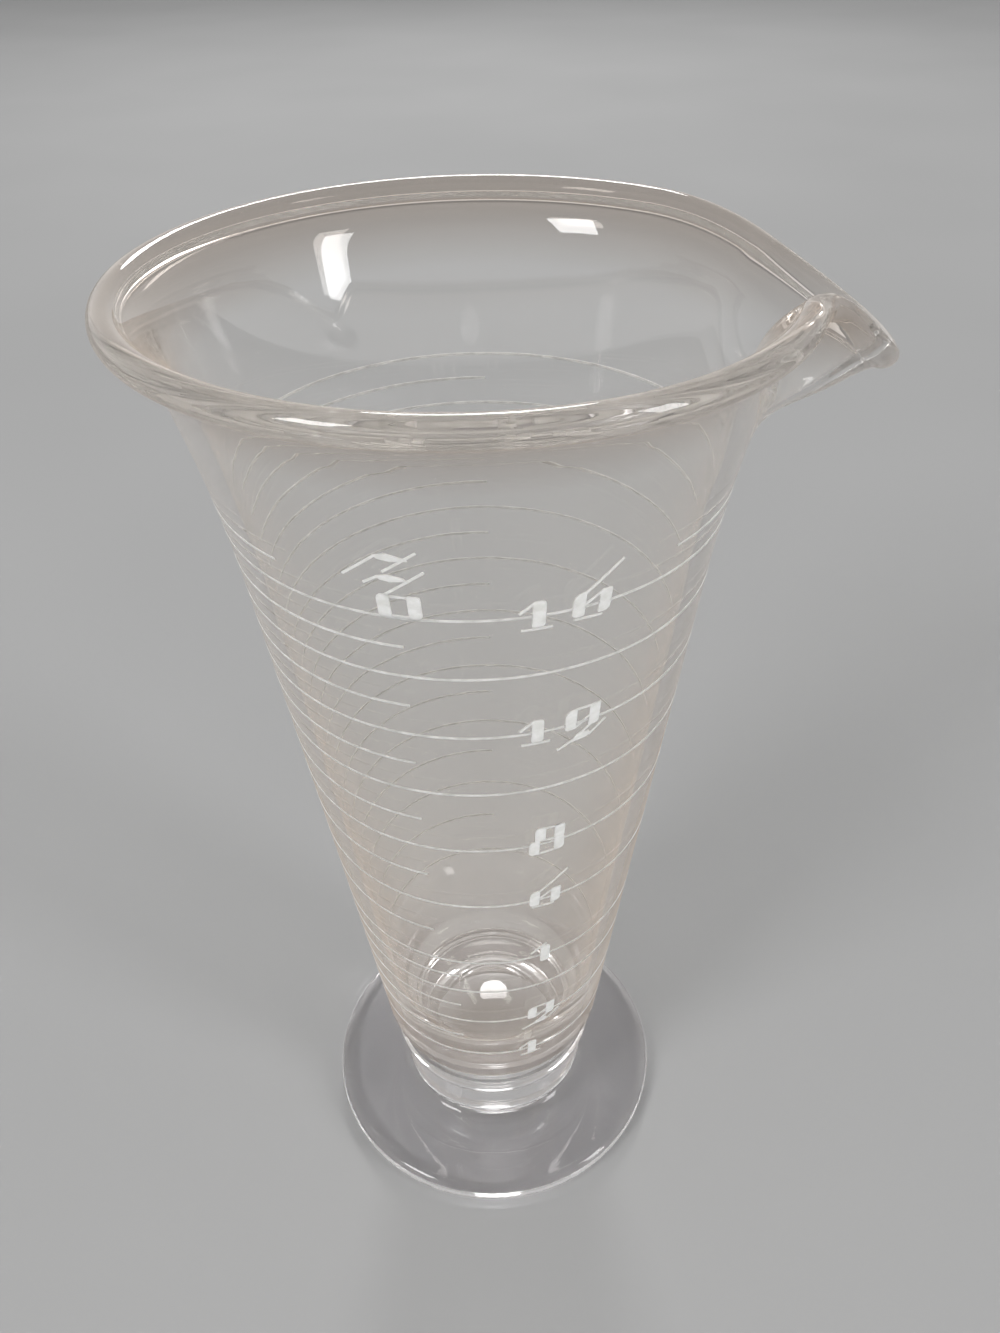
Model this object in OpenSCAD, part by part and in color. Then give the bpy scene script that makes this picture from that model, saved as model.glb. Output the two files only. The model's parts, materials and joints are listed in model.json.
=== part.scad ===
// Conical glass graduate on a foot, with a pouring lip and a cut scale.
// Millimetres. The origin is the middle of the foot's underside, +Z is up, and the lip points along +X.

/* [Bowl] */
// Height of the whole graduate, from the table to the top of the rim
total_h = 212.5; // [208:0.5:222]
// Outside diameter of the cone at the shoulder near its bottom
cone_low_d = 53.2; // [50:0.2:56]
// Outside diameter of the cone where the flare starts
cone_high_d = 83.8; // [80:0.2:87]
// Thickness of the wall, measured level
wall_t = 3.25; // [2.6:0.05:3.8]
// Height of the flare, from where it starts to the middle of the rim's bead
flare_h = 46.5; // [40:0.5:52]
// Radius of the gentle outward curve of the flare
flare_r = 234; // [200:1:300]
// How far the rim stands out from the top of the flare
rim_reach = 7; // [6:0.1:8]
// Thickness of the rolled bead along the rim
bead_d = 4.6; // [4:0.1:5.2]
// Thickness of the bowl's glass under the lowest point of the inside
floor_t = 1.5; // [1:0.1:2.5]
// Height over which the inside rounds in to its lowest point
floor_depth = 48; // [45:0.5:51]

/* [Pouring lip] */
// How far the tip of the lip is pulled out beyond the rim
lip_reach = 10; // [8:0.2:12]
// How far the tip of the lip hangs below the rim
lip_drop = 10.1; // [8:0.1:12]
// Angle from the tip to where the lip leaves the rim, on the side of the ounce scale
lip_front_angle = 12.6; // [10:0.2:14]
// Angle from the tip to where the lip leaves the rim, on the other side
lip_back_angle = 31.5; // [26:0.5:36]
// How far the rim is drawn in beside the lip, on the side of the ounce scale
lip_front_draw = 1.9; // [1:0.1:3]
// Share of the lip's drop that the rim takes up in a long dip, on the other side
lip_back_dip = 0.52; // [0.4:0.02:0.6]
// Height of the part of the wall that is pulled to form the lip
lip_wall_h = 25; // [23:0.5:25.5]

/* [Base] */
// Outside diameter of the foot
foot_d = 82.7; // [76:0.5:90]
// Thickness of the foot's rounded edge
foot_edge_t = 5.2; // [4.4:0.1:6]
// Height of the foot's top where it meets the curve up to the neck
foot_crown_h = 7.6; // [6.6:0.1:9]
// Radius of the curve between the foot and the neck
foot_curve_r = 3; // [2:0.1:4]
// Diameter of the neck
neck_d = 45; // [43:0.2:47]
// Height of the neck between the foot's curve and the bowl's collar
neck_h = 6.9; // [5:0.1:9]
// Roundness of the collar ridge under the bowl
collar_r = 4.2; // [3.8:0.1:4.6]
// How far the collar ridge stands out from the neck
collar_out = 2.3; // [1.6:0.1:3]
// Roundness of the bowl's lower shoulder
shoulder_r = 5; // [4:0.1:6]

/* [Scale] */
// Volume of one ounce in millilitres
ounce_ml = 29.57; // [28.4:0.01:29.6]
// Angle of the middle of the ounce scale, counted from the lip
scale_angle = -80.4; // [-86:0.2:-76]
// Width of the cut lines
line_w = 0.42; // [0.3:0.02:0.6]
// Depth of the cuts in the wall
cut_depth = 0.35; // [0.25:0.05:0.5]
// Half the angle that the long ounce lines run round the front
ounce_line_half = 80; // [70:1:82]
// Half the angle that the metric lines run round the back
metric_line_half = 94; // [86:1:96]
// Width of the thick strokes of the numerals
stroke_w = 2; // [1.6:0.1:2.2]

/* [Hidden] */
$fn = 128;
glass_colour = [0.86, 0.9, 0.9, 0.45];
mark_colour = [0.95, 0.95, 0.92];

// Heights up the base
neck_z = foot_crown_h + foot_curve_r;
bowl_z = neck_z + neck_h;
neck_r = neck_d / 2;
edge_r = foot_edge_t / 2;
collar_rise = 0.8;
collar_z = bowl_z + collar_r + collar_rise;
collar_mid_r = neck_r + collar_out - collar_r;
shoulder_rise = 15.5;
shoulder_z = bowl_z + shoulder_rise;
groove_step = 0.9;
groove_r = neck_r + groove_step;
floor_z = neck_z + floor_t;

// Seat: the bowl's bottom narrows in a cone from the collar down to the foot, and the neck is a ring round it
seat_ledge = 6.5;
seat_top_r = neck_r - seat_ledge;
seat_low_r = seat_top_r - neck_h;

// Heights up the wall
bead_r = bead_d / 2;
bead_z = total_h - bead_r;
flare_z = bead_z - flare_h;
turn_h = 6.8;
turn_z = bead_z - turn_h;
cone_slope = (cone_high_d - cone_low_d) / 2 / (flare_z - shoulder_z);

// Outside radius of the wall: a straight cone, then a gentle outward curve taken in short steps
function flared_r(z) = cone_low_d / 2 + cone_slope * (z - shoulder_z)
    + pow(max(0, z - flare_z), 2) / (2 * flare_r);
flare_steps = 10;
flare_heights = [for (i = [0:flare_steps]) flare_z + (turn_z - flare_z) * i / flare_steps];
wall_table = concat([[0, flared_r(0)]], [for (z = flare_heights) [z, flared_r(z)]]);
function outer_r(z) = lookup(z, wall_table);
function inner_r(z) = outer_r(z) - wall_t;

// Points of a round stretch about a middle, between two angles
arc_steps = 8;
function arc(middle, r, from, to) = [for (i = [0:arc_steps]) let (a = from + (to - from) * i / arc_steps)
    middle + r * [cos(a), sin(a)]];

// Outside of the bowl's bottom, going down: a round shoulder on the cone, a groove and the collar ridge
cone_tilt = atan(cone_slope);
shoulder_mid_r = outer_r(shoulder_z) - shoulder_r / cos(cone_tilt);
shoulder_points = arc([shoulder_mid_r, shoulder_z], shoulder_r, -cone_tilt,
    -acos((groove_r - shoulder_mid_r) / shoulder_r));
collar_points = arc([collar_mid_r, collar_z], collar_r, acos((groove_r - collar_mid_r) / collar_r),
    -acos((neck_r - collar_mid_r) / collar_r));

// Inside of the bowl: the wall grows thicker towards the bottom, which closes in a round end
round_fullness = 2.6;
round_steps = 24;
cutter_clear = 1;
function round_share(z) = min(1, (z - floor_z) / floor_depth);
function cavity_r(z) = inner_r(z) * sqrt(1 - pow(1 - round_share(z), round_fullness));
round_heights = [for (i = [1:round_steps]) floor_z + floor_depth * pow(i / round_steps, 2)];
round_points = concat([[0, round_heights[0]]], [for (z = round_heights) [cavity_r(z), z]]);

// Height in the bowl that a volume in millilitres fills, from level slices that are added up
cubic_mm_per_ml = 1000;
slice_h = 0.5;
function slice_ml(z) = PI * pow(cavity_r(z + slice_h / 2), 2) * slice_h / cubic_mm_per_ml;
fill_table = [for (z = floor_z, ml = 0; z < turn_z; ml = ml + slice_ml(z), z = z + slice_h) [ml, z]];
function fill_z(ml) = lookup(ml, fill_table);

// Rim: the wall turns out into a round bead
rim_mid_r = outer_r(turn_z) + rim_reach - bead_r;
turn_steps = 5;
inner_pull = [1.7, 5.4];
outer_pull = [1.1, 3.7];
bead_steps = 11;
bead_in_angle = 155;
bead_out_angle = -120;
function bead_point(angle, shrink) = [rim_mid_r, bead_z] + (bead_r - shrink) * [cos(angle), sin(angle)];
function curve(a, b, c, t) = (1 - t) * (1 - t) * a + 2 * t * (1 - t) * b + t * t * c;

// Points of the rim's section: up the inside through some heights, round the bead, down the outside.
// A shrink draws the section in from all its surfaces.
function rim_loop(heights, shrink) = let (
        inner_end = [inner_r(turn_z) + shrink, turn_z],
        outer_end = [outer_r(turn_z) - shrink, turn_z],
        inner_bead = bead_point(bead_in_angle, shrink),
        outer_bead = bead_point(bead_out_angle, shrink),
        bead_turn = (bead_out_angle - bead_in_angle) / bead_steps,
        last = len(heights) - 1
    ) concat(
        [for (z = heights) [inner_r(z) + shrink, z]],
        [for (i = [0:turn_steps - 1]) curve(inner_end, inner_end + inner_pull, inner_bead, i / turn_steps)],
        [for (i = [0:bead_steps]) bead_point(bead_in_angle + bead_turn * i, shrink)],
        [for (i = [1:turn_steps]) curve(outer_bead, outer_end + outer_pull, outer_end, i / turn_steps)],
        [for (i = [last:-1:0]) [outer_r(heights[i]) - shrink, heights[i]]]
    );

// Pouring lip: the rim's section is pulled out and down. The sides are uneven, because the lip is pulled by
// hand: a short fold on the side of the ounce scale, and a long dip on the other. It starts above the marks.
top_ounces = 16;
top_metric = 500;
digit_high = 8;
lip_root = 1.2;
lip_z = max(bead_z - lip_wall_h, fill_z(top_ounces * ounce_ml) + digit_high + lip_root);
lip_front_span = 62;
lip_back_span = 60;
lip_bite = 1.5;
lip_inset = 0.12;
lip_swell = 0.06;
lip_wall_steps = 7;
front_drop_share = 0.82;
function bump(angle, half) = abs(angle) < half ? pow(cos(90 * angle / half), 2) : 0;
function ease(t) = let (c = min(1, max(0, t))) c * c * (3 - 2 * c);
function lip_shift(angle, z) = let (
        front = angle < 0,
        pull = bump(angle, front ? lip_front_angle : lip_back_angle),
        draw = front ? lip_front_draw * (bump(angle, lip_front_span) - pull) : 0,
        hang = front ? bump(angle, lip_front_angle * front_drop_share)
            : (1 - lip_back_dip) * pull + lip_back_dip * bump(angle, lip_back_span)
    ) ease((z - lip_z) / (bead_z - lip_z)) * [lip_reach * pull - draw, -lip_drop * hang];
fine_turn = 2;
fine_half = 20;
coarse_turn = 4;
lip_angles = concat([-lip_front_span - lip_bite],
    [for (a = [-lip_front_span:coarse_turn:-fine_half]) a],
    [for (a = [fine_turn - fine_half:fine_turn:fine_half]) a],
    [for (a = [fine_half + coarse_turn:coarse_turn:lip_back_span]) a],
    [lip_back_span + lip_bite]);
lip_wall_step = (turn_z - lip_z) / lip_wall_steps;
lip_heights = concat([lip_z - lip_root], [for (i = [0:lip_wall_steps - 1]) lip_z + lip_wall_step * i]);

// Scale: the volumes that have a line, and where the short lines stop to the right of the scale's middle
full_ounces = [16, 14, 12, 10, 8, 6, 4, 3, 2, 1];
odd_ounces = [15, 13, 11, 9, 7, 5];
half_ounces = [3.5, 2.5, 1.5];
odd_line_end = -11.5;
half_line_end = -7;
long_metric = [for (ml = [50:50:450]) ml];
short_metric = [for (ml = [75:50:475]) ml];
short_metric_end = 4;
top_metric_gap = 42;
back_angle = scale_angle + 180;
mark_proud = 0.04;
numeral_extra_depth = 0.06;
glyph_reach = 4;
glyph_half_angle = 15;

// Places of the numerals and the ounce sign to the right of the scale's middle
one_16_u = 8.7;
six_16_u = 17;
one_12_u = 8.8;
two_12_u = 16.8;
single_u = 11;
one_u = 8.8;
sign_u = -12;
digit_low = -6;
sign_high = 14;

module bowl_section() {
    difference() {
        polygon(concat(
            [[0, flare_z]],
            rim_loop([for (i = [0:flare_steps - 1]) flare_heights[i]], 0),
            shoulder_points,
            collar_points,
            [[neck_r, bowl_z], [seat_top_r, bowl_z], [seat_low_r, neck_z], [0, neck_z]]
        ));
        polygon(concat(
            round_points,
            [[inner_r(flare_z), flare_z], [inner_r(flare_z) - cutter_clear, flare_z + cutter_clear],
                [0, flare_z + cutter_clear]]
        ));
    }
}

// Space in the rim that the pouring lip fills
module lip_window() {
    reach = rim_mid_r * 2;
    corners = 3;
    turn = (lip_back_span + lip_front_span) / corners;
    translate([0, 0, lip_z])
        linear_extrude(total_h)
            polygon(concat([[0, 0]],
                [for (i = [0:corners]) let (a = turn * i - lip_front_span) reach * [cos(a), sin(a)]]));
}

// The lip's ends and root are buried in the wall, and stand a hair proud where they leave it
module lip() {
    rings = len(lip_angles);
    size = len(rim_loop(lip_heights, 0));
    points = [for (k = [0:rings - 1])
        let (
            angle = lip_angles[k],
            buried = k == 0 || k == rings - 1,
            proud = k == 1 || k == rings - 2,
            loop = rim_loop(lip_heights, buried ? lip_inset : proud ? -lip_swell : 0)
        )
        for (i = [0:size - 1])
            let (
                row = min(i, size - 1 - i),
                root = row == 0 ? lip_inset : row == 1 && !buried && !proud ? -lip_swell : 0,
                p = loop[i] + lip_shift(angle, loop[i][1]) + [i < size / 2 ? root : -root, 0]
            ) [p[0] * cos(angle), p[0] * sin(angle), p[1]]];
    sides = [for (k = [0:rings - 2]) for (i = [0:size - 1])
        let (a = k * size + i, b = k * size + (i + 1) % size, c = a + size, d = b + size)
        for (face = [[a, d, b], [a, c, d]]) face];
    across = [for (i = [0:size / 2 - 2]) let (a = size - 2 - i, b = a + 1)
        for (face = [[i, i + 1, a], [i, a, b]]) face];
    far = (rings - 1) * size;
    far_across = [for (face = across) [far + face[0], far + face[2], far + face[1]]];
    polyhedron(points, concat(sides, across, far_across));
}

// Thin skin of the wall between two heights, over some degrees to each side of an angle
module wall_skin(low, high, middle, half, depth) {
    heights = concat([low], [for (row = wall_table) if (row[0] > low && row[0] < high) row[0]], [high]);
    top = len(heights) - 1;
    rotate([0, 0, middle - half])
        rotate_extrude(angle = 2 * half)
            polygon(concat(
                [for (z = heights) [outer_r(z) + mark_proud, z]],
                [for (i = [top:-1:0]) [outer_r(heights[i]) - depth, heights[i]]]
            ));
}

// Line round the wall at a height, between two angles
module ring_line(z, from, to) {
    wall_skin(z - line_w / 2, z + line_w / 2, (from + to) / 2, (to - from) / 2, cut_depth);
}

function angle_at(u, z) = scale_angle + u / outer_r(z) * 180 / PI;

// Flat shape pushed through the wall, upright and facing out, some way to the right of the scale's middle
module through_wall(u, z) {
    rotate([0, 0, angle_at(u, z)])
        rotate([90, 0, 90])
            translate([0, z, outer_r(z) - glyph_reach])
                linear_extrude(2 * glyph_reach) children();
}

// The part of that shape that lies in the skin of the wall
module cut_in_wall(u, z, high) {
    intersection() {
        wall_skin(z + digit_low, z + high, angle_at(u, z), glyph_half_angle, cut_depth + numeral_extra_depth);
        through_wall(u, z) children();
    }
}

// Thick upright stroke with its own rounding at each corner
module stroke(middle, low, high, top_left, top_right, low_right, low_left) {
    left = middle - stroke_w / 2;
    right = middle + stroke_w / 2;
    corners = [
        [[right - top_right, high - top_right], top_right, 0],
        [[left + top_left, high - top_left], top_left, 90],
        [[left + low_left, low + low_left], low_left, 180],
        [[right - low_right, low + low_right], low_right, 270]
    ];
    polygon([for (c = corners) for (a = [0:30:90]) c[0] + c[1] * [cos(c[2] + a), sin(c[2] + a)]]);
}

// Thin straight stroke
module hair(a, b) {
    along = (b - a) / norm(b - a);
    side = line_w / 2 * [-along[1], along[0]];
    polygon([a + side, b + side, b - side, a - side]);
}

module digit_1() {
    stroke(0, -2.2, 2.9, 0.3, 0.6, 0.6, 0.3);
    hair([-3, 0.7], [-0.7, 2.7]);
    hair([-2.6, -2.6], [2.2, -2.5]);
}

module digit_2() {
    stroke(-2.3, -1.3, 3.3, 1.4, 0.2, 0.3, 0.6);
    stroke(2, -1.4, 3.4, 0.3, 0.2, 0.8, 0.3);
    hair([-1.5, 3.2], [1.4, 3.2]);
    hair([-1.4, -1], [1.2, 1]);
    hair([-0.5, -3], [1.6, -1.2]);
    polygon([[-1.9, -4.3], [1, -4], [1.6, -3.3], [1.2, -2.6], [-0.4, -2.5], [-1.2, -3]]);
    hair([-4.3, -5.4], [-1.5, -3.8]);
    hair([1.3, -3.7], [4.4, -1.2]);
}

module digit_4() {
    stroke(0.3, -2.6, 3.2, 0.5, 0.9, 0.5, 0.5);
    hair([-2.9, 1.3], [0.4, 4.1]);
}

module digit_6() {
    stroke(-2.2, -1.8, 2.9, 1.5, 0.2, 0.3, 0.7);
    stroke(2.1, -1.9, 2.6, 0.5, 0.3, 1, 0.2);
    hair([-1.5, 2.5], [4.2, 7.6]);
    hair([-1.3, 0.3], [1.2, 2.1]);
    hair([-2.7, -2.2], [1.9, -2.4]);
}

module digit_8() {
    stroke(-2.4, -3, 1, 0.9, 0.3, 0.3, 0.9);
    stroke(2.4, -2.8, 1, 0.3, 0.6, 0.9, 0.3);
    stroke(-1.4, 0.8, 4.6, 0.9, 0.3, 0.3, 0.4);
    stroke(2.3, 0.7, 4.4, 0.3, 0.5, 0.6, 0.3);
    hair([-1.2, 4.3], [2.2, 4.2]);
    hair([-1.6, 0.9], [1.8, 0.8]);
    hair([-2, -2.8], [2.2, -2.6]);
}

module ounce_glyph() {
    hair([-7.3, 7.1], [-1.7, 11.6]);
    polygon([[-2, 11.8], [0, 12.2], [2.6, 11.5], [3, 11.1], [0.4, 10.8], [-1.4, 11.1]]);
    hair([-1, 8.7], [4.3, 12.7]);
    hair([-4.2, 6.2], [-1.9, 7.7]);
    polygon([[-2.2, 7.8], [-0.4, 8.3], [2, 7.8], [2.4, 7.3], [0, 6.9], [-1.6, 7.2]]);
    hair([-1.2, 4.4], [5, 9.2]);
    stroke(-1.7, 0, 4.4, 0.9, 0.2, 0.2, 0.5);
    stroke(2.9, 0, 4.4, 0.2, 0.4, 0.9, 0.2);
    hair([-1, 4.1], [2.1, 4.1]);
    hair([-1, 0.3], [2.1, 0.3]);
}

// All the numerals and the sign pushed through the wall, to break the lines that they stand on
module glyphs_through_wall() {
    through_wall(one_16_u, fill_z(16 * ounce_ml)) digit_1();
    through_wall(six_16_u, fill_z(16 * ounce_ml)) digit_6();
    through_wall(one_12_u, fill_z(12 * ounce_ml)) digit_1();
    through_wall(two_12_u, fill_z(12 * ounce_ml)) digit_2();
    through_wall(single_u, fill_z(8 * ounce_ml)) digit_8();
    through_wall(single_u, fill_z(6 * ounce_ml)) digit_6();
    through_wall(single_u, fill_z(4 * ounce_ml)) digit_4();
    through_wall(single_u, fill_z(2 * ounce_ml)) digit_2();
    through_wall(one_u, fill_z(ounce_ml)) digit_1();
    through_wall(sign_u, fill_z(16 * ounce_ml)) ounce_glyph();
}

module bowl() {
    color(glass_colour) {
        difference() {
            rotate_extrude() bowl_section();
            lip_window();
            unbroken_ounce_lines();
            odd_ounce_lines();
            half_ounce_lines();
            metric_long_lines();
            metric_short_lines();
            numeral_16();
            numeral_12();
            numeral_8();
            numeral_6();
            numeral_4();
            numeral_2();
            numeral_1();
            ounce_sign();
        }
        lip();
    }
}

module neck() {
    color(glass_colour)
        rotate_extrude()
            polygon([[seat_low_r, neck_z], [neck_r, neck_z], [neck_r, bowl_z], [seat_top_r, bowl_z]]);
}

module foot() {
    curve_r = neck_r + foot_curve_r;
    edge_mid_r = foot_d / 2 - edge_r;
    color(glass_colour)
        rotate_extrude() {
            difference() {
                polygon([[0, 0], [edge_mid_r, 0], [edge_mid_r, foot_edge_t], [curve_r, foot_crown_h],
                    [curve_r, neck_z], [0, neck_z]]);
                translate([curve_r, neck_z]) circle(foot_curve_r);
            }
            translate([edge_mid_r, edge_r]) circle(edge_r);
        }
}

// Long lines of the ounce scale, not yet broken where numerals stand on them
module unbroken_ounce_lines() {
    for (oz = full_ounces)
        ring_line(fill_z(oz * ounce_ml), scale_angle - ounce_line_half, scale_angle + ounce_line_half);
}

module full_ounce_lines() {
    color(mark_colour)
        difference() {
            unbroken_ounce_lines();
            glyphs_through_wall();
        }
}

module odd_ounce_lines() {
    color(mark_colour)
        for (oz = odd_ounces)
            let (z = fill_z(oz * ounce_ml))
                ring_line(z, scale_angle - ounce_line_half, angle_at(odd_line_end, z));
}

module half_ounce_lines() {
    color(mark_colour)
        for (oz = half_ounces)
            let (z = fill_z(oz * ounce_ml))
                ring_line(z, scale_angle - ounce_line_half, angle_at(half_line_end, z));
}

module metric_long_lines() {
    color(mark_colour) {
        for (ml = long_metric)
            ring_line(fill_z(ml), back_angle - metric_line_half, back_angle + metric_line_half);
        ring_line(fill_z(top_metric), scale_angle + top_metric_gap, scale_angle + 360 - top_metric_gap);
    }
}

module metric_short_lines() {
    color(mark_colour)
        for (ml = short_metric)
            ring_line(fill_z(ml), back_angle - short_metric_end, back_angle + metric_line_half);
}

module numeral_16() {
    z = fill_z(16 * ounce_ml);
    color(mark_colour) {
        cut_in_wall(one_16_u, z, digit_high) digit_1();
        cut_in_wall(six_16_u, z, digit_high) digit_6();
    }
}

module numeral_12() {
    z = fill_z(12 * ounce_ml);
    color(mark_colour) {
        cut_in_wall(one_12_u, z, digit_high) digit_1();
        cut_in_wall(two_12_u, z, digit_high) digit_2();
    }
}

module numeral_8() {
    color(mark_colour) cut_in_wall(single_u, fill_z(8 * ounce_ml), digit_high) digit_8();
}

module numeral_6() {
    color(mark_colour) cut_in_wall(single_u, fill_z(6 * ounce_ml), digit_high) digit_6();
}

module numeral_4() {
    color(mark_colour) cut_in_wall(single_u, fill_z(4 * ounce_ml), digit_high) digit_4();
}

module numeral_2() {
    color(mark_colour) cut_in_wall(single_u, fill_z(2 * ounce_ml), digit_high) digit_2();
}

module numeral_1() {
    color(mark_colour) cut_in_wall(one_u, fill_z(ounce_ml), digit_high) digit_1();
}

module ounce_sign() {
    color(mark_colour) cut_in_wall(sign_u, fill_z(16 * ounce_ml), sign_high) ounce_glyph();
}

bowl();
neck();
foot();
full_ounce_lines();
odd_ounce_lines();
half_ounce_lines();
metric_long_lines();
metric_short_lines();
numeral_16();
numeral_12();
numeral_8();
numeral_6();
numeral_4();
numeral_2();
numeral_1();
ounce_sign();
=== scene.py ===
"""Looks of a conical glass graduate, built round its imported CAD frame.

Sizes in the classes are millimetres and degrees, as on a drawing. Meshes are made in metres.
"""

import json
import logging
import math
from dataclasses import dataclass
from enum import Enum

import bpy
from mathutils import Matrix, Vector


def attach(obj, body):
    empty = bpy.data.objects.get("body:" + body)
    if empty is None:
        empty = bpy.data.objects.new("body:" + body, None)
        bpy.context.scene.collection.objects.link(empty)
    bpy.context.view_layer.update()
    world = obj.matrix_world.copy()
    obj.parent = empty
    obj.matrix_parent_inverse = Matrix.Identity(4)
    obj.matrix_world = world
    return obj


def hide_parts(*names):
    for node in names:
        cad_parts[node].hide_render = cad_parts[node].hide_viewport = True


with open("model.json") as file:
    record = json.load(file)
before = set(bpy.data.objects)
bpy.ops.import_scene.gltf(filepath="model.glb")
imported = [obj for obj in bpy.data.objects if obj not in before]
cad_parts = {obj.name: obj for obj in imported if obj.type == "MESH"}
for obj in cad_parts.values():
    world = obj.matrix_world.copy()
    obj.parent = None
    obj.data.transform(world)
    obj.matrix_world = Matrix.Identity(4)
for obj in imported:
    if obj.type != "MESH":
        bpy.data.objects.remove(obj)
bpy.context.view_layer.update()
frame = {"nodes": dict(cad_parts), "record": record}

MM = 0.001
FULL_TURN = 360.0
QUARTER_TURN = 90.0
BODY = "root"

Point = tuple[float, float]
Colour = tuple[float, float, float, float]

log = logging.getLogger("graduate")


class Slot(Enum):
    """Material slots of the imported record."""

    GLASS = "glass"
    LINES = "cut_lines"
    NUMERALS = "cut_numerals"


class LampOutline(Enum):
    """Outlines that a lamp can have, by Blender's names."""

    SQUARED = "RECTANGLE"
    ROUND = "ELLIPSE"


@dataclass(frozen=True)
class Pattern:
    """Noise that is fixed to the object: its stretch across and up, features in a metre and finer layers."""

    across: float
    up: float
    per_metre: float
    layers: float


def arc(middle: Point, radius: float, start: float, end: float, steps: int) -> list[Point]:
    """Gives the points of a round stretch of a section.

    Args:
        middle: Radius and height of the arc's middle.
        radius: Radius of the arc.
        start: Angle of the first point, counted from straight out.
        end: Angle of the last point.
        steps: Number of equal steps between them.

    Returns:
        The points, with the first and the last.
    """
    angles = [math.radians(start + (end - start) * i / steps) for i in range(steps + 1)]
    return [(middle[0] + radius * math.cos(a), middle[1] + radius * math.sin(a)) for a in angles]


def sweep(corners: list[Point], steps: int) -> list[Point]:
    """Gives the points of a smooth curve that is drawn by its corner points.

    Args:
        corners: The first point, the points that pull the curve, and the last point.
        steps: Number of steps along the curve.

    Returns:
        The points, with the first and the last.
    """
    points = []
    for i in range(steps + 1):
        share = i / steps
        row = corners
        while len(row) > 1:
            row = [
                (a[0] + (b[0] - a[0]) * share, a[1] + (b[1] - a[1]) * share)
                for a, b in zip(row, row[1:])
            ]
        points.append(row[0])
    return points


def ahead(point: Point, angle: float, length: float) -> Point:
    """Gives the point that lies some length away from another, in a direction in degrees."""
    turn = math.radians(angle)
    return (point[0] + length * math.cos(turn), point[1] + length * math.sin(turn))


def off_line(point: Point, start: Point, end: Point) -> float:
    """Gives how far a point lies from a straight stretch of a section."""
    along = Vector(end) - Vector(start)
    share = (Vector(point) - Vector(start)).dot(along) / along.length_squared
    return (Vector(point) - Vector(start) - along * min(1.0, max(0.0, share))).length


def bump(angle: float, half: float) -> float:
    """Gives a smooth hump that is 1 at angle 0 and falls to 0 at half an opening to each side."""
    if abs(angle) >= half:
        return 0.0
    return math.cos(math.radians(QUARTER_TURN * angle / half)) ** 2


def ease(share: float) -> float:
    """Gives a smooth step from 0 to 1 as the share goes from 0 to 1."""
    held = min(1.0, max(0.0, share))
    return held * held * (3 - 2 * held)


class Wiring:
    """Adds nodes to one node tree and joins them. Ramps use the middle stretch of a pattern's values."""

    noise_low = 0.35
    noise_high = 0.65

    def __init__(self, tree: bpy.types.NodeTree) -> None:
        """Empties the tree that is to be wired."""
        self.tree = tree
        tree.nodes.clear()

    def add(self, kind: str, **settings: object) -> bpy.types.Node:
        """Adds a node.

        Args:
            kind: Blender's name of the node's type.
            settings: Values for the node's own properties.

        Returns:
            The new node.
        """
        node = self.tree.nodes.new(kind)
        for name, value in settings.items():
            setattr(node, name, value)
        return node

    def join(self, source: bpy.types.NodeSocket, target: bpy.types.NodeSocket) -> None:
        """Joins an output to an input."""
        self.tree.links.new(source, target)

    def noise(self, pattern: Pattern) -> bpy.types.NodeSocket:
        """Adds a noise pattern that is fixed to the object.

        Args:
            pattern: The pattern's fineness and stretch.

        Returns:
            The output with the pattern's value.
        """
        place = self.add("ShaderNodeTexCoord")
        mapping = self.add("ShaderNodeMapping")
        mapping.inputs["Scale"].default_value = (pattern.across, pattern.across, pattern.up)
        self.join(place.outputs["Object"], mapping.inputs["Vector"])
        cloud = self.add("ShaderNodeTexNoise")
        cloud.inputs["Scale"].default_value = pattern.per_metre
        cloud.inputs["Detail"].default_value = pattern.layers
        self.join(mapping.outputs["Vector"], cloud.inputs["Vector"])
        return cloud.outputs["Fac"]

    def between(self, share: bpy.types.NodeSocket, low: Colour, high: Colour) -> bpy.types.NodeSocket:
        """Adds a ramp from one colour to another.

        Args:
            share: Output that chooses the place on the ramp.
            low: Colour at the ramp's low end.
            high: Colour at its high end.

        Returns:
            The output with the colour.
        """
        ramp = self.add("ShaderNodeValToRGB")
        ramp.color_ramp.elements[0].position = self.noise_low
        ramp.color_ramp.elements[0].color = low
        ramp.color_ramp.elements[1].position = self.noise_high
        ramp.color_ramp.elements[1].color = high
        self.join(share, ramp.inputs["Fac"])
        return ramp.outputs["Color"]

    def spread(self, share: bpy.types.NodeSocket, low: float, high: float) -> bpy.types.NodeSocket:
        """Adds a range of plain values that a pattern runs through.

        Args:
            share: Output with the pattern.
            low: Value where the pattern is low.
            high: Value where it is high.

        Returns:
            The output with the value.
        """
        reach = self.add("ShaderNodeMapRange")
        reach.inputs["From Min"].default_value = self.noise_low
        reach.inputs["From Max"].default_value = self.noise_high
        reach.inputs["To Min"].default_value = low
        reach.inputs["To Max"].default_value = high
        self.join(share, reach.inputs["Value"])
        return reach.outputs["Result"]

    def relief(
        self, height: bpy.types.NodeSocket, depth: float, under: bpy.types.NodeSocket | None = None
    ) -> bpy.types.NodeSocket:
        """Adds a fine relief.

        Args:
            height: Output with the relief's pattern.
            depth: Depth of the relief in metres.
            under: Output with a coarser relief that this one lies on.

        Returns:
            The output with the surface's direction.
        """
        node = self.add("ShaderNodeBump")
        node.inputs["Strength"].default_value = 1.0
        node.inputs["Distance"].default_value = depth
        self.join(height, node.inputs["Height"])
        if under is not None:
            self.join(under, node.inputs["Normal"])
        return node.outputs["Normal"]


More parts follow.
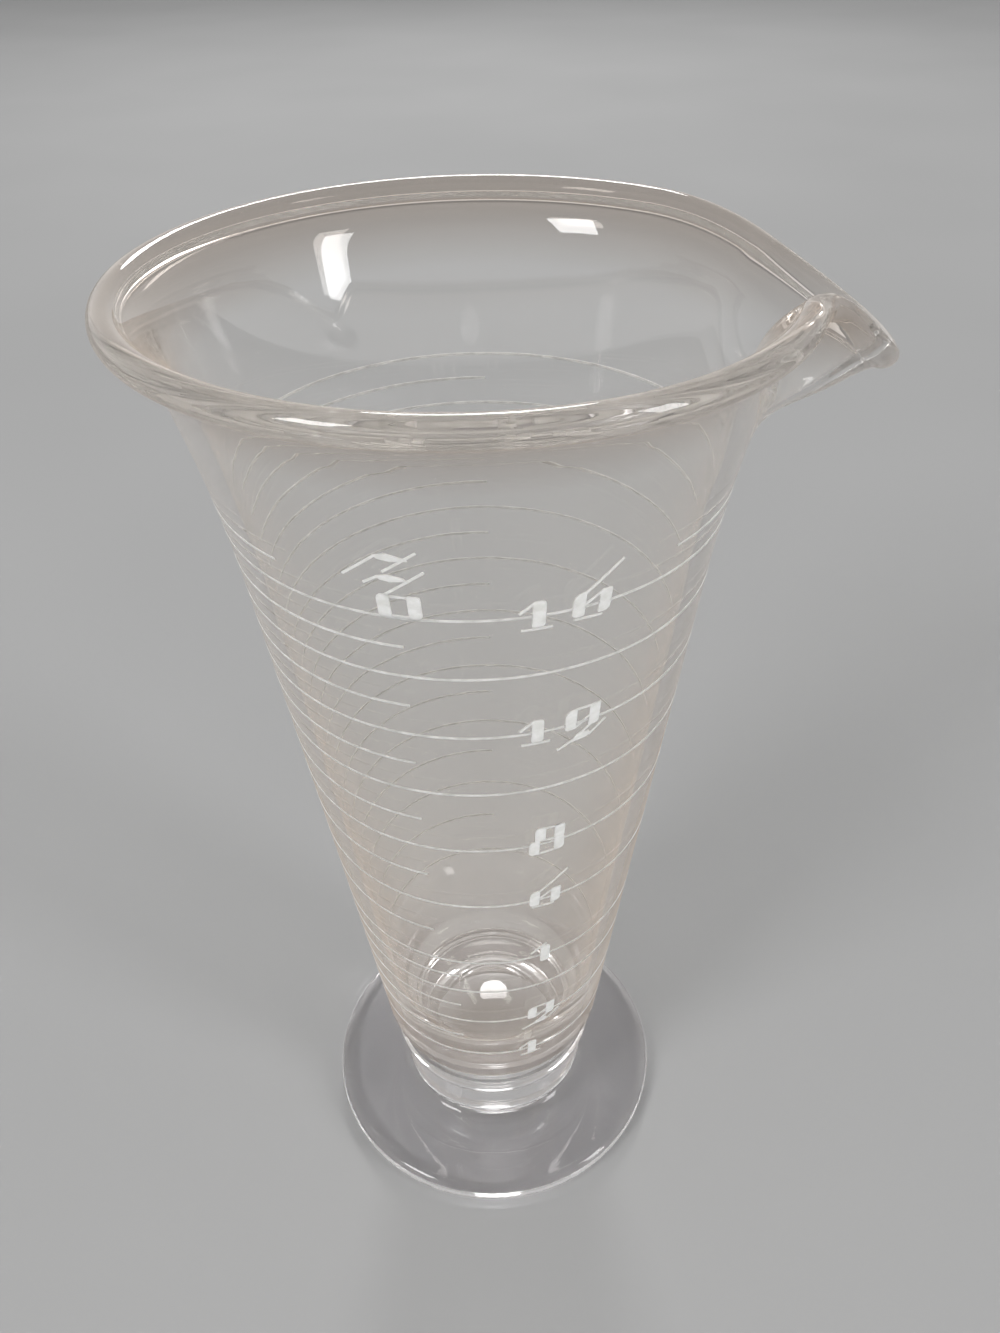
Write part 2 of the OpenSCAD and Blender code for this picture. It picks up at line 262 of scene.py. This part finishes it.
def new_material(name: str) -> tuple[bpy.types.Material, Wiring]:
    """Makes an empty node material.

    Args:
        name: Name of the material.

    Returns:
        The material and the wiring of its tree.
    """
    material = bpy.data.materials.new(name)
    material.use_nodes = True
    return material, Wiring(material.node_tree)


@dataclass(frozen=True)
class GlassFinish:
    """Old clear glass: fire-polished and a little wavy, smoky where it is thick, with a thin film of use, and
    a painted reflection that darkens the rim bead to a brown grey.
    """

    name: str = "old_clear_glass"
    ior: float = 1.52
    height: float = 0.2125
    tints_and_painted_reflection: tuple[tuple[float, Colour], ...] = (
        (0.00, (0.935, 0.924, 0.936, 1.0)),
        (0.08, (0.955, 0.945, 0.948, 1.0)),
        (0.25, (0.970, 0.957, 0.940, 1.0)),
        (0.60, (0.985, 0.980, 0.970, 1.0)),
        (0.93, (0.985, 0.980, 0.972, 1.0)),
        # painted reflection: this top stop darkens the rim bead to a brown grey that stands in for the room
        # reflected in it, on top of the thick glass's own smoky tone
        (0.98, (0.740, 0.670, 0.610, 1.0)),
    )
    smudges: Pattern = Pattern(1.0, 1.0, 60.0, 3.0)
    smudge_roughness: float = 0.02
    waves: Pattern = Pattern(1.0, 0.6, 38.0, 1.0)
    wave_depth: float = 0.00006
    streaks: Pattern = Pattern(1.0, 0.12, 220.0, 2.0)
    streak_depth: float = 0.000006
    film: tuple[tuple[float, Colour], ...] = (
        (0.10, (0.10, 0.10, 0.10, 1.0)),
        (0.20, (0.75, 0.75, 0.75, 1.0)),
        (0.50, (0.65, 0.65, 0.65, 1.0)),
        (0.85, (0.25, 0.25, 0.25, 1.0)),
    )
    film_roughness: float = 0.5
    film_tint: Colour = (0.95, 0.77, 0.60, 1.0)

    def ladder(self, wiring: Wiring, steps: tuple[tuple[float, Colour], ...]) -> bpy.types.NodeSocket:
        """Adds a colour that changes up the object.

        Args:
            wiring: Wiring of the material's tree.
            steps: Shares of the height, each with the colour that it has.

        Returns:
            The output with the colour.
        """
        place = wiring.add("ShaderNodeTexCoord")
        parts = wiring.add("ShaderNodeSeparateXYZ")
        wiring.join(place.outputs["Object"], parts.inputs["Vector"])
        share = wiring.add("ShaderNodeMapRange")
        share.inputs["From Max"].default_value = self.height
        wiring.join(parts.outputs["Z"], share.inputs["Value"])
        ramp = wiring.add("ShaderNodeValToRGB")
        stops = ramp.color_ramp.elements
        while len(stops) < len(steps):
            stops.new(0.5)
        for stop, (position, colour) in zip(stops, steps):
            stop.position = position
            stop.color = colour
        wiring.join(share.outputs["Result"], ramp.inputs["Fac"])
        return ramp.outputs["Color"]

    def film_weight(self, wiring: Wiring) -> bpy.types.NodeSocket:
        """Adds the film's strength up the object, which is nothing on the inner side of a surface.

        Args:
            wiring: Wiring of the material's tree.

        Returns:
            The output with the strength.
        """
        side = wiring.add("ShaderNodeNewGeometry")
        weight = wiring.add("ShaderNodeMapRange")
        weight.inputs["To Max"].default_value = 0.0
        wiring.join(self.ladder(wiring, self.film), weight.inputs["To Min"])
        wiring.join(side.outputs["Backfacing"], weight.inputs["Value"])
        return weight.outputs["Result"]

    def material(self) -> bpy.types.Material:
        """Wires the finish and gives the material."""
        material, wiring = new_material(self.name)
        shader = wiring.add("ShaderNodeBsdfPrincipled")
        shader.inputs["Transmission Weight"].default_value = 1.0
        shader.inputs["IOR"].default_value = self.ior
        shader.inputs["Sheen Roughness"].default_value = self.film_roughness
        shader.inputs["Sheen Tint"].default_value = self.film_tint
        wiring.join(self.film_weight(wiring), shader.inputs["Sheen Weight"])
        # base colour up the object: the glass's own tone, with a painted reflection in brown grey on the rim
        # bead
        wiring.join(self.ladder(wiring, self.tints_and_painted_reflection), shader.inputs["Base Color"])
        smudges = wiring.spread(wiring.noise(self.smudges), 0.0, self.smudge_roughness)
        wiring.join(smudges, shader.inputs["Roughness"])
        waves = wiring.relief(wiring.noise(self.waves), self.wave_depth)
        streaks = wiring.relief(wiring.noise(self.streaks), self.streak_depth, waves)
        wiring.join(streaks, shader.inputs["Normal"])
        output = wiring.add("ShaderNodeOutputMaterial")
        wiring.join(shader.outputs["BSDF"], output.inputs["Surface"])
        return material

    def seal(self) -> bpy.types.Material:
        """Gives the material of the faces where two pieces are fused, which don't show."""
        material, wiring = new_material(self.name + "_fused_seal")
        shader = wiring.add("ShaderNodeBsdfPrincipled")
        shader.inputs["Alpha"].default_value = 0.0
        output = wiring.add("ShaderNodeOutputMaterial")
        wiring.join(shader.outputs["BSDF"], output.inputs["Surface"])
        return material


@dataclass(frozen=True)
class FrostFinish:
    """White frosting of a wheel-cut mark, with the wheel's fine grain in it."""

    name: str
    worn: Colour
    fresh: Colour
    depth_of_light: float = 0.0006
    wear: Pattern = Pattern(1.0, 1.6, 420.0, 4.0)
    worn_roughness: float = 0.85
    fresh_roughness: float = 0.6
    grain: Pattern = Pattern(1.0, 0.4, 2600.0, 2.0)
    grain_depth: float = 0.00006

    def material(self) -> bpy.types.Material:
        """Wires the finish and gives the material."""
        material, wiring = new_material(self.name)
        shader = wiring.add("ShaderNodeBsdfPrincipled")
        shader.inputs["Subsurface Weight"].default_value = 1.0
        shader.inputs["Subsurface Radius"].default_value = (1.0, 1.0, 1.0)
        shader.inputs["Subsurface Scale"].default_value = self.depth_of_light
        wear = wiring.noise(self.wear)
        wiring.join(wiring.between(wear, self.worn, self.fresh), shader.inputs["Base Color"])
        roughness = wiring.spread(wear, self.worn_roughness, self.fresh_roughness)
        wiring.join(roughness, shader.inputs["Roughness"])
        grain = wiring.relief(wiring.noise(self.grain), self.grain_depth)
        wiring.join(grain, shader.inputs["Normal"])
        output = wiring.add("ShaderNodeOutputMaterial")
        wiring.join(shader.outputs["BSDF"], output.inputs["Surface"])
        return material


@dataclass(frozen=True)
class FloorFinish:
    """Plain matt floor in a pale grey."""

    name: str = "pale_floor"
    low: Colour = (0.41, 0.41, 0.41, 1.0)
    high: Colour = (0.43, 0.43, 0.43, 1.0)
    cloud: Pattern = Pattern(1.0, 1.0, 3.0, 2.0)
    roughness: float = 0.9
    gloss: float = 0.1

    def material(self) -> bpy.types.Material:
        """Wires the finish and gives the material."""
        material, wiring = new_material(self.name)
        shader = wiring.add("ShaderNodeBsdfPrincipled")
        greys = wiring.between(wiring.noise(self.cloud), self.low, self.high)
        wiring.join(greys, shader.inputs["Base Color"])
        shader.inputs["Roughness"].default_value = self.roughness
        shader.inputs["Specular IOR Level"].default_value = self.gloss
        output = wiring.add("ShaderNodeOutputMaterial")
        wiring.join(shader.outputs["BSDF"], output.inputs["Surface"])
        return material


@dataclass
class TurnedGlass:
    """A piece of glass that is round about the upright axis, drawn by half of its section."""

    name: str
    node: str
    turns: tuple[tuple[float, int], ...] = ((FULL_TURN, 240),)
    first_angle: float = 0.0
    weld: float = 0.000001
    sharp_angle: float = 55.0
    seal_slack: float = 0.01

    def section(self) -> list[Point]:
        """Gives half of the piece's section, from the axis round to the axis, or round a ring."""
        raise NotImplementedError

    def seals(self) -> list[Point]:
        """Gives the points along the section that bound its straight stretches fused to other pieces."""
        raise NotImplementedError

    def place(self, point: Point) -> Vector:
        """Gives the place in metres of a point of the section, where the spin starts."""
        turn = math.radians(self.first_angle)
        return MM * Vector((point[0] * math.cos(turn), point[0] * math.sin(turn), point[1]))

    def build(self) -> bpy.types.Object:
        """Extrudes the section from one point, spins it round the axis and closes it.

        Returns:
            The finished piece.
        """
        bpy.ops.object.select_all(action="DESELECT")
        bpy.ops.mesh.primitive_plane_add(size=MM, calc_uvs=False)
        piece = bpy.context.object
        piece.name = self.name
        piece.data.name = self.name
        points = [self.place(point) for point in self.section()]
        bpy.ops.object.mode_set(mode="EDIT")
        bpy.ops.mesh.select_all(action="SELECT")
        bpy.ops.mesh.merge(type="CENTER")
        bpy.ops.transform.translate(value=points[0])
        for last, point in zip(points, points[1:]):
            bpy.ops.mesh.extrude_vertices_move(TRANSFORM_OT_translate={"value": point - last})
        bpy.ops.mesh.select_all(action="SELECT")
        for angle, steps in self.turns:
            bpy.ops.mesh.spin(steps=steps, angle=math.radians(angle), center=(0, 0, 0), axis=(0, 0, 1))
        bpy.ops.mesh.select_all(action="SELECT")
        bpy.ops.mesh.remove_doubles(threshold=self.weld)
        bpy.ops.mesh.normals_make_consistent(inside=False)
        bpy.ops.object.mode_set(mode="OBJECT")
        self.shape(piece)
        bpy.ops.object.shade_smooth_by_angle(angle=math.radians(self.sharp_angle))
        return piece

    def shape(self, piece: bpy.types.Object) -> None:
        """Works on the turned piece, where it isn't round."""

    def dress(self, piece: bpy.types.Object, finish: GlassFinish) -> None:
        """Gives the piece its finish, and the faces that are fused to another piece theirs.

        Args:
            piece: The piece as built.
            finish: The glass that it is made of.
        """
        piece.data.materials.append(finish.material())
        piece.data.materials.append(finish.seal())
        seals = self.seals()
        for face in piece.data.polygons:
            x, y, z = face.center / MM
            place = (math.hypot(x, y), z)
            if any(off_line(place, a, b) < self.seal_slack for a, b in zip(seals, seals[1:])):
                face.material_index = 1
        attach(piece, BODY)
        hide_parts(self.node)


@dataclass
class Foot(TurnedGlass):
    """Round foot with a full-round edge, and a low crown that curves up to the neck."""

    name: str = "foot_glass"
    node: str = "foot"
    width: float = 82.7
    edge: float = 5.2
    crown: float = 7.6
    curve: float = 3.0
    neck_width: float = 45.0
    underside_steps: int = 6
    edge_steps: int = 26
    slope_steps: int = 8
    curve_steps: int = 12

    def top(self) -> float:
        """Gives the height of the flat face that the neck and the bowl are fused to."""
        return self.crown + self.curve

    def seals(self) -> list[Point]:
        """Gives the ends of the flat top that the neck and the bowl are fused to."""
        return [(self.neck_width / 2, self.top()), (0.0, self.top())]

    def section(self) -> list[Point]:
        """Gives half of the foot's section, from the middle of the underside to the middle of the top."""
        edge_r = self.edge / 2
        edge_middle = (self.width / 2 - edge_r, edge_r)
        neck_r = self.neck_width / 2
        curve_middle = (neck_r + self.curve, self.top())
        rise = math.degrees(math.atan2(self.crown - self.edge, edge_middle[0] - curve_middle[0]))
        underside = sweep([(0.0, 0.0), (edge_middle[0], 0.0)], self.underside_steps)[:-1]
        edge = arc(edge_middle, edge_r, -QUARTER_TURN, QUARTER_TURN - rise, self.edge_steps)
        curve = arc(curve_middle, self.curve, -QUARTER_TURN - rise, -2 * QUARTER_TURN, self.curve_steps)
        slope = sweep([edge[-1], curve[0]], self.slope_steps)[1:-1]
        return underside + edge + slope + curve + [(neck_r / 2, self.top()), (0.0, self.top())]


@dataclass
class Neck(TurnedGlass):
    """Ring of glass on the foot, round the cone that the bowl's bottom ends in."""

    name: str = "neck_glass"
    node: str = "neck"
    width: float = 45.0
    low: float = 10.6
    high: float = 17.5
    ledge: float = 6.5
    side_steps: int = 6

    def seals(self) -> list[Point]:
        """Gives the corners from the foot's top, up the bowl's cone and out under its collar."""
        r = self.width / 2
        seat_r = r - self.ledge
        return [(r, self.low), (seat_r - self.high + self.low, self.low), (seat_r, self.high), (r, self.high)]

    def section(self) -> list[Point]:
        """Gives the ring's section, from the outside on the foot round to the same point."""
        corners = self.seals()
        points = []
        for a, b in zip(corners, corners[1:] + corners[:1]):
            points += sweep([a, b], self.side_steps)[:-1]
        return points + corners[:1]


@dataclass
class Bowl(TurnedGlass):
    """Conical bowl with a rounded inside, a collar and shoulder below, a flared rim and a pulled lip."""

    name: str = "bowl_glass"
    node: str = "bowl"
    turns: tuple[tuple[float, int], ...] = ((60.0, 110), (300.0, 200))
    first_angle: float = -20.0
    height: float = 212.5
    seat: float = 10.6
    collar_seal: float = 17.5
    neck_width: float = 45.0
    neck_ledge: float = 6.5
    low_width: float = 53.2
    high_width: float = 83.8
    wall: float = 3.25
    flare_height: float = 46.5
    flare_r: float = 234.0
    rim_reach: float = 7.0
    bead_width: float = 4.6
    bead_in_angle: float = 143.0
    bead_out_angle: float = -108.0
    bead_steps: int = 44
    turn_height: float = 6.8
    turn_in_angle: float = 155.0
    turn_out_angle: float = -120.0
    turn_inner_pull: Point = (1.7, 5.4)
    turn_outer_pull: Point = (1.1, 3.7)
    turn_steps: int = 14
    cone_steps: int = 14
    flare_steps: int = 22
    floor: float = 1.5
    floor_depth: float = 48.0
    floor_fullness: float = 2.6
    floor_steps: int = 40
    seal_steps: int = 4
    collar_r: float = 4.2
    collar_out: float = 2.3
    collar_rise: float = 0.8
    collar_top_angle: float = 36.0
    collar_low_angle: float = -40.0
    collar_steps: int = 14
    shoulder_r: float = 5.0
    shoulder_rise: float = 15.5
    shoulder_low_angle: float = -56.0
    shoulder_steps: int = 12
    groove_pulls: Point = (2.0, 1.6)
    groove_steps: int = 10
    hollow_pulls: Point = (1.2, 1.0)
    hollow_steps: int = 8
    lip_reach: float = 10.0
    lip_drop: float = 10.1
    lip_front_angle: float = 12.6
    lip_back_angle: float = 31.5
    lip_front_draw: float = 1.9
    lip_back_dip: float = 0.52
    lip_front_span: float = 62.0
    lip_back_span: float = 60.0
    lip_front_drop_share: float = 0.82
    lip_wall_height: float = 25.0

    def __post_init__(self) -> None:
        """Works out the heights that the other methods share."""
        self.bead_r = self.bead_width / 2
        self.bead_z = self.height - self.bead_r
        self.flare_z = self.bead_z - self.flare_height
        self.turn_z = self.bead_z - self.turn_height
        self.shoulder_z = self.collar_seal + self.shoulder_rise
        self.slope = (self.high_width - self.low_width) / 2 / (self.flare_z - self.shoulder_z)

    def seals(self) -> list[Point]:
        """Gives the corners from the collar's edge, in under it, down the cone and along the foot's top."""
        neck_r = self.neck_width / 2
        seat_r = neck_r - self.neck_ledge
        return [
            (neck_r, self.collar_seal),
            (seat_r, self.collar_seal),
            (seat_r - self.collar_seal + self.seat, self.seat),
            (0.0, self.seat),
        ]

    def outside(self, z: float) -> float:
        """Gives the outside radius of the wall at a height."""
        flare = max(0.0, z - self.flare_z) ** 2 / (2 * self.flare_r)
        return self.low_width / 2 + self.slope * (z - self.shoulder_z) + flare

    def inside(self, z: float) -> float:
        """Gives the inside radius of the wall at a height."""
        return self.outside(z) - self.wall

    def rounded_floor(self) -> list[Point]:
        """Gives the round end of the inside, from the axis to where the wall has its plain thickness."""
        points = []
        for i in range(self.floor_steps + 1):
            share = (i / self.floor_steps) ** 2
            z = self.seat + self.floor + self.floor_depth * share
            points.append((self.inside(z) * math.sqrt(1 - (1 - share) ** self.floor_fullness), z))
        return points

    def wall_heights(self, low: float) -> list[float]:
        """Gives the heights up the wall that have a row of points, above the lowest."""
        cone_step = (self.flare_z - low) / self.cone_steps
        flare_step = (self.turn_z - self.flare_z) / self.flare_steps
        cone = [low + cone_step * i for i in range(1, self.cone_steps + 1)]
        flare = [self.flare_z + flare_step * i for i in range(1, self.flare_steps)]
        return cone + flare

    def rim(self) -> list[Point]:
        """Gives the rim's section, from the inside of the wall over the bead to the outside."""
        bead = (self.outside(self.turn_z) + self.rim_reach - self.bead_r, self.bead_z)
        inner_end = (self.inside(self.turn_z), self.turn_z)
        outer_end = (self.outside(self.turn_z), self.turn_z)
        round_bead = arc(bead, self.bead_r, self.bead_in_angle, self.bead_out_angle, self.bead_steps)
        inner_foot = ahead(bead, self.turn_in_angle, self.bead_r)
        outer_foot = ahead(bead, self.turn_out_angle, self.bead_r)
        inner_corner = (inner_end[0] + self.turn_inner_pull[0], inner_end[1] + self.turn_inner_pull[1])
        outer_corner = (outer_end[0] + self.turn_outer_pull[0], outer_end[1] + self.turn_outer_pull[1])
        inner = sweep([inner_end, inner_corner, inner_foot, round_bead[0]], self.turn_steps)
        outer = sweep([round_bead[-1], outer_foot, outer_corner, outer_end], self.turn_steps)
        return inner + round_bead[1:-1] + outer

    def bottom(self) -> list[Point]:
        """Gives the outside of the bowl's bottom: the shoulder, the groove and the collar, going down."""
        neck_r = self.neck_width / 2
        tilt = math.degrees(math.atan(self.slope))
        shoulder = (
            self.outside(self.shoulder_z) - self.shoulder_r / math.cos(math.radians(tilt)),
            self.shoulder_z,
        )
        collar_z = self.collar_seal + self.collar_r + self.collar_rise
        collar = (neck_r + self.collar_out - self.collar_r, collar_z)
        above = arc(shoulder, self.shoulder_r, -tilt, self.shoulder_low_angle, self.shoulder_steps)
        ridge = arc(collar, self.collar_r, self.collar_top_angle, self.collar_low_angle, self.collar_steps)
        edge = (neck_r, self.collar_seal)
        groove_corners = [
            above[-1],
            ahead(above[-1], self.shoulder_low_angle - QUARTER_TURN, self.groove_pulls[0]),
            ahead(ridge[0], self.collar_top_angle + QUARTER_TURN, self.groove_pulls[1]),
            ridge[0],
        ]
        hollow_corners = [
            ridge[-1],
            ahead(ridge[-1], self.collar_low_angle - QUARTER_TURN, self.hollow_pulls[0]),
            ahead(edge, QUARTER_TURN, self.hollow_pulls[1]),
            edge,
        ]
        groove = sweep(groove_corners, self.groove_steps)[1:-1]
        hollow = sweep(hollow_corners, self.hollow_steps)[1:-1]
        return above + groove + ridge + hollow

    def section(self) -> list[Point]:
        """Gives half of the bowl's section, from the inside's lowest point round to the seat's middle."""
        floor = self.rounded_floor()
        inner = [(self.inside(z), z) for z in self.wall_heights(floor[-1][1])]
        outer = [(self.outside(z), z) for z in reversed(self.wall_heights(self.shoulder_z))]
        corners = self.seals()
        seal = []
        for a, b in zip(corners, corners[1:]):
            seal += sweep([a, b], self.seal_steps)[:-1]
        return floor + inner + self.rim() + outer + self.bottom() + seal + corners[-1:]

    def lip_pull(self, angle: float, z: float) -> Point:
        """Gives how far a point of the rim is pulled to form the lip.

        Args:
            angle: Angle round the bowl from the lip's tip.
            z: Height of the point before it is pulled.

        Returns:
            The way outwards and the way up.
        """
        lip_z = self.bead_z - self.lip_wall_height
        rise = ease((z - lip_z) / (self.bead_z - lip_z))
        if angle < 0:
            pull = bump(angle, self.lip_front_angle)
            draw = self.lip_front_draw * (bump(angle, self.lip_front_span) - pull)
            hang = bump(angle, self.lip_front_angle * self.lip_front_drop_share)
        else:
            pull = bump(angle, self.lip_back_angle)
            draw = 0.0
            hang = pull + self.lip_back_dip * (bump(angle, self.lip_back_span) - pull)
        return (rise * (self.lip_reach * pull - draw), -rise * self.lip_drop * hang)

    def shape(self, piece: bpy.types.Object) -> None:
        """Pulls the pouring lip out of the turned rim.

        Args:
            piece: The turned bowl.
        """
        for vertex in piece.data.vertices:
            x, y, z = vertex.co / MM
            radius = math.hypot(x, y)
            out, up = self.lip_pull(math.degrees(math.atan2(y, x)), z)
            if radius > 0:
                stretch = 1 + out / radius
                vertex.co = MM * Vector((x * stretch, y * stretch, z + up))
        piece.data.update()


@dataclass(frozen=True)
class CutScale:
    """The cut lines and numerals, which stay as the CAD solids and get a frosted finish."""

    ounce_lines: FrostFinish = FrostFinish("frosted_line", (0.62, 0.62, 0.60, 1.0), (0.90, 0.90, 0.88, 1.0))
    # the metric lines get a dimmer copy of the frosting than the ounce lines
    metric_lines: FrostFinish = FrostFinish("dim_metric_line", (0.62, 0.62, 0.61, 1.0), (0.82, 0.82, 0.80, 1.0))
    numerals: FrostFinish = FrostFinish("frosted_numeral", (0.80, 0.80, 0.77, 1.0), (0.95, 0.95, 0.93, 1.0))
    metric_start: str = "metric"

    def finish(self, node: str, slot: Slot) -> FrostFinish:
        """Gives the finish of a mark.

        Args:
            node: Name of the mark's node.
            slot: Material slot of the mark.

        Returns:
            The finish for the numerals, the ounce lines or the finer metric lines.
        """
        if slot is Slot.NUMERALS:
            return self.numerals
        return self.metric_lines if node.startswith(self.metric_start) else self.ounce_lines

    def dress(self) -> list[str]:
        """Gives every mark its finish.

        Returns:
            The names of the marks.
        """
        materials = {f: f.material() for f in (self.ounce_lines, self.metric_lines, self.numerals)}
        marks = []
        for part in frame["record"]["subparts"]:
            slot = Slot(part["material_slot"])
            if slot is not Slot.GLASS:
                mark = frame["nodes"][part["node"]]
                mark.data.materials.clear()
                mark.data.materials.append(materials[self.finish(part["node"], slot)])
                marks.append(mark.name)
        return marks


@dataclass(frozen=True)
class Softbox:
    """A large soft lamp that faces the graduate."""

    name: str
    place: tuple[float, float, float]
    width: float
    height: float
    power: float
    outline: LampOutline = LampOutline.SQUARED
    aim: tuple[float, float, float] = (0.0, 0.0, 0.1)

    def build(self) -> bpy.types.Object:
        """Hangs the lamp and gives its object."""
        data = bpy.data.lights.new(self.name, "AREA")
        data.shape = self.outline.value
        data.size = self.width
        data.size_y = self.height
        data.energy = self.power
        lamp = bpy.data.objects.new(self.name, data)
        bpy.context.scene.collection.objects.link(lamp)
        lamp.location = self.place
        way = Vector(self.aim) - Vector(self.place)
        lamp.rotation_mode = "QUATERNION"
        lamp.rotation_quaternion = way.to_track_quat("-Z", "Y")
        lamp.visible_camera = False
        return lamp


@dataclass(frozen=True)
class Viewpoint:
    """The photograph's camera, close to the graduate and looking down on it."""

    place: tuple[float, float, float] = (28.16, -166.47, 264.42)
    yaw: float = -8.316
    pitch: float = 37.735
    roll: float = 1.260
    focal_length: float = 1073.48
    picture_height: float = 1333.0
    sensor: float = 36.0
    nearest: float = 0.01

    def build(self) -> bpy.types.Object:
        """Sets up the camera and gives its object."""
        yaw, pitch, roll = (math.radians(a) for a in (self.yaw, self.pitch, self.roll))
        forward = Vector(
            (math.sin(yaw) * math.cos(pitch), math.cos(yaw) * math.cos(pitch), -math.sin(pitch))
        )
        level = Vector((math.cos(yaw), -math.sin(yaw), 0.0))
        down = forward.cross(level)
        right = math.cos(roll) * level + math.sin(roll) * down
        up = math.sin(roll) * level - math.cos(roll) * down
        data = bpy.data.cameras.new("photo_camera")
        data.sensor_width = self.sensor
        data.lens = self.focal_length / self.picture_height * self.sensor
        data.clip_start = self.nearest
        camera = bpy.data.objects.new("photo_camera", data)
        bpy.context.scene.collection.objects.link(camera)
        turn = Matrix((right, up, -forward)).transposed().to_4x4()
        camera.matrix_world = Matrix.Translation(MM * Vector(self.place)) @ turn
        bpy.context.scene.camera = camera
        return camera


@dataclass(frozen=True)
class Studio:
    """Pale floor, soft lamps and an even surrounding light."""

    floor_radius: float = 9.0
    floor_corners: int = 96
    floor_gap: float = 0.0002
    horizon: Colour = (0.85, 0.85, 0.85, 1.0)
    horizon_end: float = 0.15
    ceiling: Colour = (0.42, 0.42, 0.42, 1.0)
    ceiling_start: float = 0.75
    bounces: int = 48
    clear_bounces: int = 24
    glare_limit: float = 6.0
    lamps: tuple[Softbox, ...] = (
        Softbox("key_lamp", (-1.3, -1.5, 1.6), 0.7, 0.8, 22.0),
        Softbox("side_lamp", (1.7, -0.7, 0.9), 0.4, 1.0, 12.0),
        Softbox("back_lamp", (-0.3, 1.9, 1.4), 0.6, 0.5, 12.0, LampOutline.ROUND),
    )

    def build_floor(self) -> bpy.types.Object:
        """Lays the floor just under the foot and gives its object."""
        bpy.ops.object.select_all(action="DESELECT")
        bpy.ops.mesh.primitive_circle_add(
            vertices=self.floor_corners,
            radius=self.floor_radius,
            fill_type="NGON",
            location=(0, 0, -self.floor_gap),
        )
        floor = bpy.context.object
        floor.name = "floor"
        floor.data.materials.append(FloorFinish().material())
        return floor

    def light(self) -> None:
        """Hangs the lamps and sets the surrounding light."""
        for lamp in self.lamps:
            lamp.build()
        world = bpy.data.worlds.new("studio")
        bpy.context.scene.world = world
        world.use_nodes = True
        wiring = Wiring(world.node_tree)
        place = wiring.add("ShaderNodeTexCoord")
        parts = wiring.add("ShaderNodeSeparateXYZ")
        wiring.join(place.outputs["Generated"], parts.inputs["Vector"])
        ramp = wiring.add("ShaderNodeValToRGB")
        ramp.color_ramp.elements[0].position = self.horizon_end
        ramp.color_ramp.elements[0].color = self.horizon
        ramp.color_ramp.elements[1].position = self.ceiling_start
        ramp.color_ramp.elements[1].color = self.ceiling
        wiring.join(parts.outputs["Z"], ramp.inputs["Fac"])
        glow = wiring.add("ShaderNodeBackground")
        wiring.join(ramp.outputs["Color"], glow.inputs["Color"])
        output = wiring.add("ShaderNodeOutputWorld")
        wiring.join(glow.outputs["Background"], output.inputs["Surface"])

    def tune(self) -> None:
        """Sets how the picture is worked out: enough bounces for thick glass, and no grain."""
        scene = bpy.context.scene
        scene.view_settings.view_transform = "Standard"
        scene.cycles.max_bounces = self.bounces
        scene.cycles.transmission_bounces = self.bounces
        scene.cycles.glossy_bounces = self.bounces
        scene.cycles.transparent_max_bounces = self.clear_bounces
        scene.cycles.sample_clamp_indirect = self.glare_limit
        scene.cycles.blur_glossy = 0.0
        scene.cycles.use_denoising = True


def main() -> None:
    """Builds the graduate piece by piece, then the studio round it."""
    logging.basicConfig(level=logging.INFO, format="%(name)s: %(message)s")
    finish = GlassFinish()
    for glass in (Foot(), Neck(), Bowl()):
        piece = glass.build()
        glass.dress(piece, finish)
        log.info("%s has %d faces and stands for %s", piece.name, len(piece.data.polygons), glass.node)
    for name in CutScale().dress():
        log.info("%s is frosted", name)
    studio = Studio()
    studio.build_floor()
    studio.light()
    studio.tune()
    Viewpoint().build()


if __name__ == "__main__":
    main()
